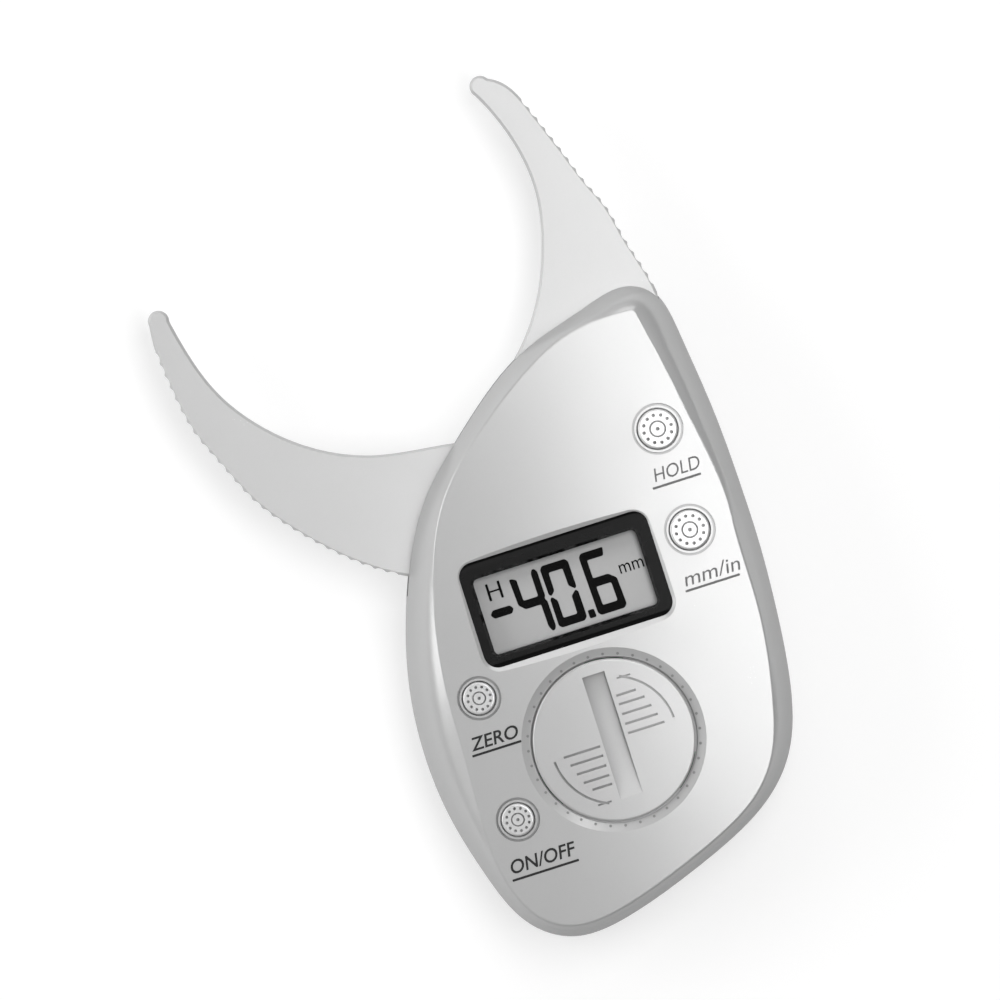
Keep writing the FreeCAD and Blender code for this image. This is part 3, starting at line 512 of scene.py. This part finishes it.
class PrintSettings(PropertyGroup):
    upper_ink: colour("Upper ink", "Grey of the HOLD and mm/in lettering", 0.15, 0.15, 0.15)
    lower_ink: colour("Lower ink", "Grey of the ZERO and ON/OFF lettering", 0.015, 0.015, 0.015)
    proud: length("Print thickness", "How far the print stands off the face", 0.02)
    slant: share("Slant", "Slope of the italic letters", 0.2)
    boldness: share("Boldness", "How far the ZERO and ON/OFF letters are thickened", 0.014)
    underline: length("Underline", "Width of the line under each word", 0.42)


class CoverSettings(PropertyGroup):
    dots: IntProperty(name="Index dots", description="Dots round the battery cover",
                      default=36, min=1, max=72)
    dot_circle: length("Dot circle", "Radius of the circle of dots", 15.2)
    dot_radius: length("Dot size", "Radius of one dot", 0.25)
    dot_ink: colour("Dot ink", "Grey of the index dots", 0.22, 0.22, 0.22)


class StudioSettings(PropertyGroup):
    floor: colour("Floor", "Pale floor under the caliper", 0.45, 0.45, 0.45)
    glow: share("Floor glow", "Lifts the floor to white where it is seen", 0.6)
    world: FloatProperty(name="Room", description="Brightness of the room", default=0.27, min=0, max=2)
    world_tilt: share("Window", "How much brighter the room is on its window side", 0.9)
    window: angle("Window direction", "Where the window is, turned from the left to the top", 20)
    softbox: FloatProperty(name="Overhead box", description="Power of the overhead box in watts",
                           default=6.0, min=0)
    side: FloatProperty(name="Side lamp", description="Power of the lamp on the left in watts",
                        default=4.0, min=0)
    top: FloatProperty(name="Top lamp", description="Power of the lamp beyond the jaws in watts",
                       default=2.0, min=0)
    distance: length("Camera distance", "Camera above the face", 5000)
    view_width: length("View width", "Width of what the camera sees", 175.8)
    roll: angle("Camera roll", "Turn of the camera about its own line of sight", -17.7)


GROUPS = {
    "caliper_paint": PaintSettings,
    "caliper_display": DisplaySettings,
    "caliper_print": PrintSettings,
    "caliper_cover": CoverSettings,
    "caliper_studio": StudioSettings,
}


# ---- the pieces ----

class CALIPER_OT_shells(Operator):
    """Paints the front and rear halves of the case"""
    bl_idname = "caliper.shells"
    bl_label = "Case shells"

    def execute(self, context):
        paint = context.scene.caliper_paint
        dress(["front_shell", "rear_shell"], silver_paint("silver_shell", paint.shell, paint))
        return {"FINISHED"}


class CALIPER_OT_jaws(Operator):
    """Paints the two jaws"""
    bl_idname = "caliper.jaws"
    bl_label = "Jaws"

    def execute(self, context):
        paint = context.scene.caliper_paint
        dress(["fixed_jaw", "moving_jaw"], silver_paint("silver_jaw", paint.jaw, paint))
        return {"FINISHED"}


class CALIPER_OT_buttons(Operator):
    """Paints the four button caps and finishes the switches under them"""
    bl_idname = "caliper.buttons"
    bl_label = "Buttons"

    def execute(self, context):
        paint = context.scene.caliper_paint
        names = ("hold", "unit", "zero", "power")
        dress([name + "_button" for name in names], silver_paint("silver_button", paint.button, paint))
        dress([name + "_plunger" for name in names], matt_plastic("plunger_white", PLUNGER_WHITE))
        dress(["switch_housings"], matt_plastic("switch_grey", SWITCH_GREY))
        return {"FINISHED"}


# The display's figures, as outlines of corners in millimetres. They lean a little to the left.
FIGURES = {
    "minus": [[(-14.15, -16.0), (-13.6, -15.25), (-10.4, -15.25), (-9.9, -16.0), (-10.4, -16.75),
               (-13.6, -16.75)]],
    "four": [[(-9.2, -11.0), (-8.7, -11.0), (-7.95, -11.4), (-7.85, -15.25), (-5.15, -15.25),
              (-5.2, -11.1), (-4.85, -10.45), (-4.4, -10.45), (-4.0, -11.1), (-3.95, -15.5), (-4.2, -16.0),
              (-3.85, -16.5), (-3.75, -21.2), (-4.1, -21.8), (-4.55, -21.8), (-5.0, -20.9), (-5.1, -16.8),
              (-7.9, -16.8), (-8.95, -15.8)]],
    "nought": [[(-3.3, -15.6), (-3.45, -11.0), (-3.0, -10.4), (1.2, -10.4), (1.7, -10.95), (1.8, -15.5),
                (1.5, -15.95), (0.5, -15.1), (0.4, -11.9), (-2.15, -11.9), (-2.15, -15.2), (-2.9, -15.95)],
               [(-3.3, -16.5), (-2.95, -16.1), (-2.1, -17.0), (-2.05, -20.25), (0.5, -20.25), (0.5, -17.0),
                (1.45, -16.1), (1.85, -16.55), (1.95, -21.2), (1.45, -21.8), (-2.75, -21.8), (-3.25, -21.3)]],
    "point": [[(2.35, -20.3), (3.5, -20.3), (3.6, -21.8), (2.4, -21.8)]],
    "six": [[(3.7, -11.0), (4.2, -10.4), (8.25, -10.4), (7.95, -11.9), (4.95, -11.9), (5.0, -15.2),
             (7.75, -15.2), (9.05, -16.3), (9.3, -21.2), (8.75, -21.8), (4.5, -21.8), (4.0, -21.25)],
            [(5.1, -16.8), (7.85, -16.8), (7.95, -20.2), (5.25, -20.2)]],
    "hold_mark": [[(-13.5, -10.5), (-13.05, -10.5), (-13.05, -11.85), (-11.35, -11.85), (-11.35, -10.5),
                   (-10.9, -10.5), (-10.9, -13.6), (-11.35, -13.6), (-11.35, -12.15), (-13.05, -12.15),
                   (-13.05, -13.6), (-13.5, -13.6)]],
}
UNIT_BOX = (9.9, 14.3, -15.95, -14.35)      # x from, to, y from, to of the small mm
FINE_CORNER = 0.4                   # of the small figures' corners to the large ones'
SUNK = 0.03                         # how far laid pieces reach into what they lie on


class CALIPER_OT_display(Operator):
    """Finishes the display: frame, window, glass and the figures that it shows"""
    bl_idname = "caliper.display"
    bl_label = "Display"

    def execute(self, context):
        display = context.scene.caliper_display
        black = gloss_plastic("frame_black", display.frame_colour, roughness=0.25, shine=0.15)
        dress(["display_bezel"], black)
        dress(["display_lens"], lens_finish("clear_window", display))
        dress(["lcd_panel"], lcd_finish("lcd_reflector", display))
        ink = ink_finish("segment_black", display.figure, roughness=0.6, shine=0.03)
        height = display.segment_height / MM
        for name, outlines in FIGURES.items():
            corner = display.corner / MM * (FINE_CORNER if name == "hold_mark" else 1.0)
            soft = [rounded(outline, corner) for outline in outlines]
            self.attach(slab("lcd_" + name, soft, LCD_TOP - SUNK, LCD_TOP + height, ink))
        unit = lettering("lcd_unit", "mm", UNIT_BOX, 0.0, 0.0, height, ink)
        unit.data.transform(Matrix.Translation(UP * LCD_TOP * MM))
        self.attach(unit)
        return {"FINISHED"}

    def attach(self, piece):
        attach(piece, "case")


# What is printed on the face, in millimetres: words, box of x from, to, y from, to, underline of x from,
# to, y, and which ink.
LABELS = {
    "hold": ("HOLD", (20.6, 29.1, -2.45, -0.05), (19.8, 28.7, -3.4), "upper"),
    "unit": ("mm/in", (20.1, 30.4, -21.6, -19.0), (19.8, 29.8, -22.35), "upper"),
    "zero": ("ZERO", (-24.5, -15.7, -37.85, -35.45), (-24.75, -15.7, -38.6), "lower"),
    "power": ("ON/OFF", (-24.3, -12.3, -60.6, -58.1), (-24.65, -12.4, -61.6), "lower"),
}
LINE_CORNER = 0.15                  # rounding of the underlines' ends
LINE_CUTS = 8                       # pieces of an underline, so that it follows the face


class CALIPER_OT_lettering(Operator):
    """Prints the underlined function words beside the buttons"""
    bl_idname = "caliper.lettering"
    bl_label = "Lettering"

    def execute(self, context):
        print_settings = context.scene.caliper_print
        face = surface_of("front_shell")
        inks = {"upper": ink_finish("ink_grey", print_settings.upper_ink),
                "lower": ink_finish("ink_dark", print_settings.lower_ink)}
        half = print_settings.underline / MM / 2
        for name, (text, box, (x0, x1, y), tone) in LABELS.items():
            weight = print_settings.boldness if tone == "lower" else 0.0
            words = lettering("print_" + name, text, box, print_settings.slant, weight, 2 * LEAF,
                              inks[tone])
            bar = [(x0, y - half), (x1, y - half), (x1, y + half), (x0, y + half)]
            line = slab("line_" + name, [rounded(bar, LINE_CORNER)], -LEAF, LEAF, inks[tone])
            cut_across(line, LINE_CUTS)
            printed = join_pieces("label_" + name, [words, line])
            lay_on(printed, face, print_settings.proud / MM, SUNK)
            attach(printed, "case")
        return {"FINISHED"}


DOT_SIDES = 12                      # of a dot's outline
DOT_PROUD = 0.03                    # millimetres that a dot stands off the ring round the cover
DOT_SUNK = 0.05                     # and reaches into it


class CALIPER_OT_battery_cover(Operator):
    """Paints the battery cover, its seal and the index dots round it"""
    bl_idname = "caliper.battery_cover"
    bl_label = "Battery cover"

    def execute(self, context):
        paint = context.scene.caliper_paint
        cover = context.scene.caliper_cover
        dress(["battery_cover"], silver_paint("silver_cover", paint.cover, paint))
        dress(["battery_cover_seal"], rubber_finish("seal_black", SEAL_BLACK))
        ink = ink_finish("dot_grey", cover.dot_ink)
        dots = [self.dot(cover, index, ink) for index in range(cover.dots)]
        marks = join_pieces("index_dots", dots)
        lay_on(marks, surface_of("front_shell"), DOT_PROUD, DOT_SUNK)
        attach(marks, "case")
        return {"FINISHED"}

    def dot(self, cover, index, ink):
        middle = Vector(BATTERY) + self.spoke(cover.dot_circle, index, cover.dots)
        rim = [middle + self.spoke(cover.dot_radius, side, DOT_SIDES) for side in range(DOT_SIDES)]
        return slab("dot_%02d" % index, [rim], -LEAF, LEAF, ink)

    def spoke(self, radius, index, count):
        """From the middle of a circle to one of count places evenly round it, in millimetres."""
        turn = 2 * math.pi * index / count
        return radius / MM * Vector((math.cos(turn), math.sin(turn)))


class CALIPER_OT_inside(Operator):
    """Finishes the pivot, screws, board, battery and contacts inside the case"""
    bl_idname = "caliper.inside"
    bl_label = "Inside parts"

    def execute(self, context):
        dress(["pivot_screw", "pivot_washer", "case_screws", "board_screws"],
              plated_steel("zinc_plate", ZINC))
        dress(["pivot_spring_washer", "battery_contact_positive", "battery_contact_negative"],
              plated_steel("spring_steel", SPRING_STEEL, roughness=0.25))
        dress(["coin_cell"], plated_steel("nickel_plate", NICKEL, roughness=0.2))
        dress(["circuit_board"], board_finish(MASK_GREEN, TRACK_GREEN))
        dress(["controller_chip"], matt_plastic("chip_black", CHIP_BLACK))
        dress(["chip_passives"], matt_plastic("chip_tan", CHIP_TAN, roughness=0.4))
        dress(["lcd_holder", "battery_holder"], matt_plastic("holder_black", HOLDER_BLACK))
        dress(["lcd_contact_strips"], rubber_finish("strip_grey", STRIP_GREY))
        dress(["sensor_scale"], film_finish("scale_film", FILM_COPPER))
        return {"FINISHED"}


# ---- the studio ----

# Lamps: their setting, metres to the right of the view's middle, up the picture and above the floor,
# width, length, and turn in degrees.
LAMPS = {
    "overhead_box": ("softbox", 0.2758, 0.0896, 1.0, 0.45, 0.9, 18),
    "side_lamp": ("side", -0.9, 0.1, 0.45, 0.5, 0.8, 0),
    "top_lamp": ("top", 0.0, 0.85, 0.7, 0.9, 0.35, 0),
}
FLOOR_REACH = 6.0                   # metres each way
FLOOR_GAP = 0.05                    # millimetres under the case, so that the two aren't in one plane


def floor_finish(studio):
    """Pale matt floor that looks white to the camera and in reflections, and keeps the shadow."""
    floor = Finish("floor_pale")
    floor.shades(studio.floor, floor.noise(size=60.0), spread=0.01)
    rays = ("Is Camera Ray", "Is Glossy Ray", "Is Transmission Ray")
    camera, glossy, passing = [floor.node("LightPath", output=ray) for ray in rays]
    seen = (camera + glossy + passing).clamped()
    floor.set(Roughness=0.9, Specular_IOR_Level=0.0, Emission_Strength=1.0)
    floor.set(Emission_Color=floor.mix(seen, (0, 0, 0, 1), (studio.glow, studio.glow, studio.glow, 1)))
    return floor.material


class CALIPER_OT_studio(Operator):
    """Sets up the floor, room, lamps and camera"""
    bl_idname = "caliper.studio"
    bl_label = "Studio"

    def execute(self, context):
        studio = context.scene.caliper_studio
        self.make_floor(studio)
        self.make_room(context, studio)
        for name, (power, *layout) in LAMPS.items():
            self.make_lamp(name, getattr(studio, power), studio.roll, *layout)
        self.make_camera(context, studio)
        return {"FINISHED"}

    def make_floor(self, studio):
        r, z = FLOOR_REACH, -FLOOR_GAP * MM
        mesh = bpy.data.meshes.new("floor")
        mesh.from_pydata([(-r, -r, z), (r, -r, z), (r, r, z), (-r, r, z)], [], [(0, 1, 2, 3)])
        mesh.materials.append(floor_finish(studio))
        add_object("floor", mesh)

    def make_room(self, context, studio):
        """An even room that is brighter toward its window."""
        world = bpy.data.worlds.new("room")
        world.use_nodes = True
        context.scene.world = world
        room = Shading(world.node_tree)
        window = studio.roll + math.pi - studio.window
        toward_x, toward_y = [room.node("SeparateXYZ", output=axis,
                                        Vector=room.node("TexCoord", output="Generated")) for axis in "XY"]
        toward = toward_x * math.cos(window) + toward_y * math.sin(window)
        level = (toward * studio.world_tilt + 1) * studio.world
        plug(room.tree, room.tree.nodes["Background"].inputs["Color"], room.grey(level))

    def make_lamp(self, name, power, roll, across, up_picture, height, width, reach, turn):
        light = bpy.data.lights.new(name, "AREA")
        light.shape = "RECTANGLE"
        light.size, light.size_y = width, reach
        light.energy = power
        right = Vector((math.cos(roll), math.sin(roll), 0))
        offset = right * across + UP.cross(right) * up_picture + UP * height
        back = offset.normalized()
        wide = Matrix.Rotation(math.radians(turn), 3, UP) @ right
        wide = (wide - back * wide.dot(back)).normalized()
        facing = Matrix((wide, back.cross(wide), back)).transposed().to_4x4()
        middle = Vector((*VIEW_MIDDLE, 0)) * MM
        add_object(name, light).matrix_world = Matrix.Translation(middle + offset) @ facing

    def make_camera(self, context, studio):
        camera = bpy.data.cameras.new("camera")
        camera.sensor_width = 36
        camera.lens = camera.sensor_width * studio.distance / studio.view_width
        camera.clip_start = 0.05
        holder = add_object("camera", camera)
        holder.location = Vector((*VIEW_MIDDLE, FACE_TOP)) * MM + UP * studio.distance
        holder.rotation_euler = (0, 0, studio.roll)
        context.scene.camera = holder
        context.scene.view_settings.view_transform = "Standard"


class CALIPER_PT_panel(Panel):
    """Every piece of the caliper, with the sizes and colours behind it"""
    bl_idname = "CALIPER_PT_panel"
    bl_label = "Skinfold caliper"
    bl_space_type = "VIEW_3D"
    bl_region_type = "UI"
    bl_category = "Caliper"

    def draw(self, context):
        for step in STEPS:
            self.layout.operator(step.bl_idname)
        for group in GROUPS:
            box = self.layout.box()
            settings = getattr(context.scene, group)
            for name in settings.__annotations__:
                box.prop(settings, name)


STEPS = (
    CALIPER_OT_shells,
    CALIPER_OT_jaws,
    CALIPER_OT_buttons,
    CALIPER_OT_display,
    CALIPER_OT_lettering,
    CALIPER_OT_battery_cover,
    CALIPER_OT_inside,
    CALIPER_OT_studio,
)
CLASSES = tuple(GROUPS.values()) + STEPS + (CALIPER_PT_panel,)


def register():
    for cls in CLASSES:
        bpy.utils.register_class(cls)
    for name, group in GROUPS.items():
        setattr(bpy.types.Scene, name, PointerProperty(type=group))


def unregister():
    for name in GROUPS:
        delattr(bpy.types.Scene, name)
    for cls in reversed(CLASSES):
        bpy.utils.unregister_class(cls)


def main():
    register()
    for step in STEPS:
        group, action = step.bl_idname.split(".")
        getattr(getattr(bpy.ops, group), action)()


if __name__ == "__main__":
    main()
